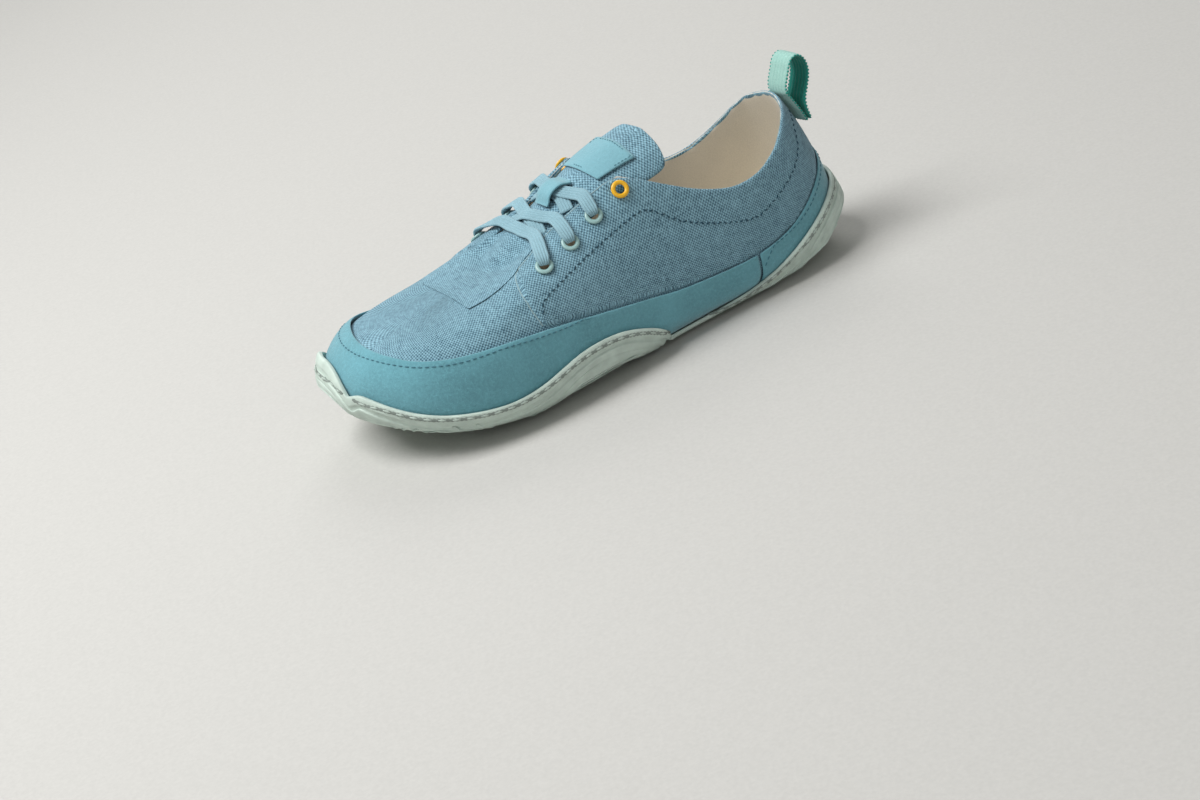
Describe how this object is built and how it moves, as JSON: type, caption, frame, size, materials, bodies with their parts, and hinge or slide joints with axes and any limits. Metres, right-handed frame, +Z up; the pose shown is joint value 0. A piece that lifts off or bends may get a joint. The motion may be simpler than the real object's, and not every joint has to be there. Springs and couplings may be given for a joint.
{
  "type": "barefoot shoe",
  "caption": "Low barefoot lace-up shoe with a canvas upper, a suede band round the foot, a split rubber outsole and a pull loop.",
  "frame": {"origin": "bottom centre of the shoe's bounding box, on the floor", "axes": "+X from the heel to the toe, +Y to the outer (lateral) side, +Z up"},
  "size_m": [0.2742, 0.1028, 0.0933],
  "materials": {
    "rubber": "matt, ribbed",
    "inlay": "matt",
    "insole": "matt",
    "canvas": "twill weave",
    "suede": "suede nap",
    "tongue_canvas": "twill weave",
    "label": "suede nap",
    "keeper": "suede nap",
    "eyelet_yellow": "satin enamel",
    "eyelet_sage": "satin enamel",
    "lace": "flat woven",
    "webbing": "woven"
  },
  "bodies": {
    "root": {"outsole": "rubber", "sole_inlay": "inlay", "insole": "insole", "upper": "canvas", "band_front": "suede", "band_heel": "suede", "tongue": "tongue_canvas", "tongue_label": "label", "lace_keeper": "keeper", "eyelet_outer_1": "eyelet_yellow", "eyelet_outer_2": "eyelet_sage", "eyelet_outer_3": "eyelet_sage", "eyelet_outer_4": "eyelet_sage", "eyelet_inner_1": "eyelet_yellow", "eyelet_inner_2": "eyelet_sage", "eyelet_inner_3": "eyelet_sage", "eyelet_inner_4": "eyelet_sage", "lace_lower": "lace", "lace_upper": "lace", "pull_loop": "webbing"}
  },
  "joints": []
}
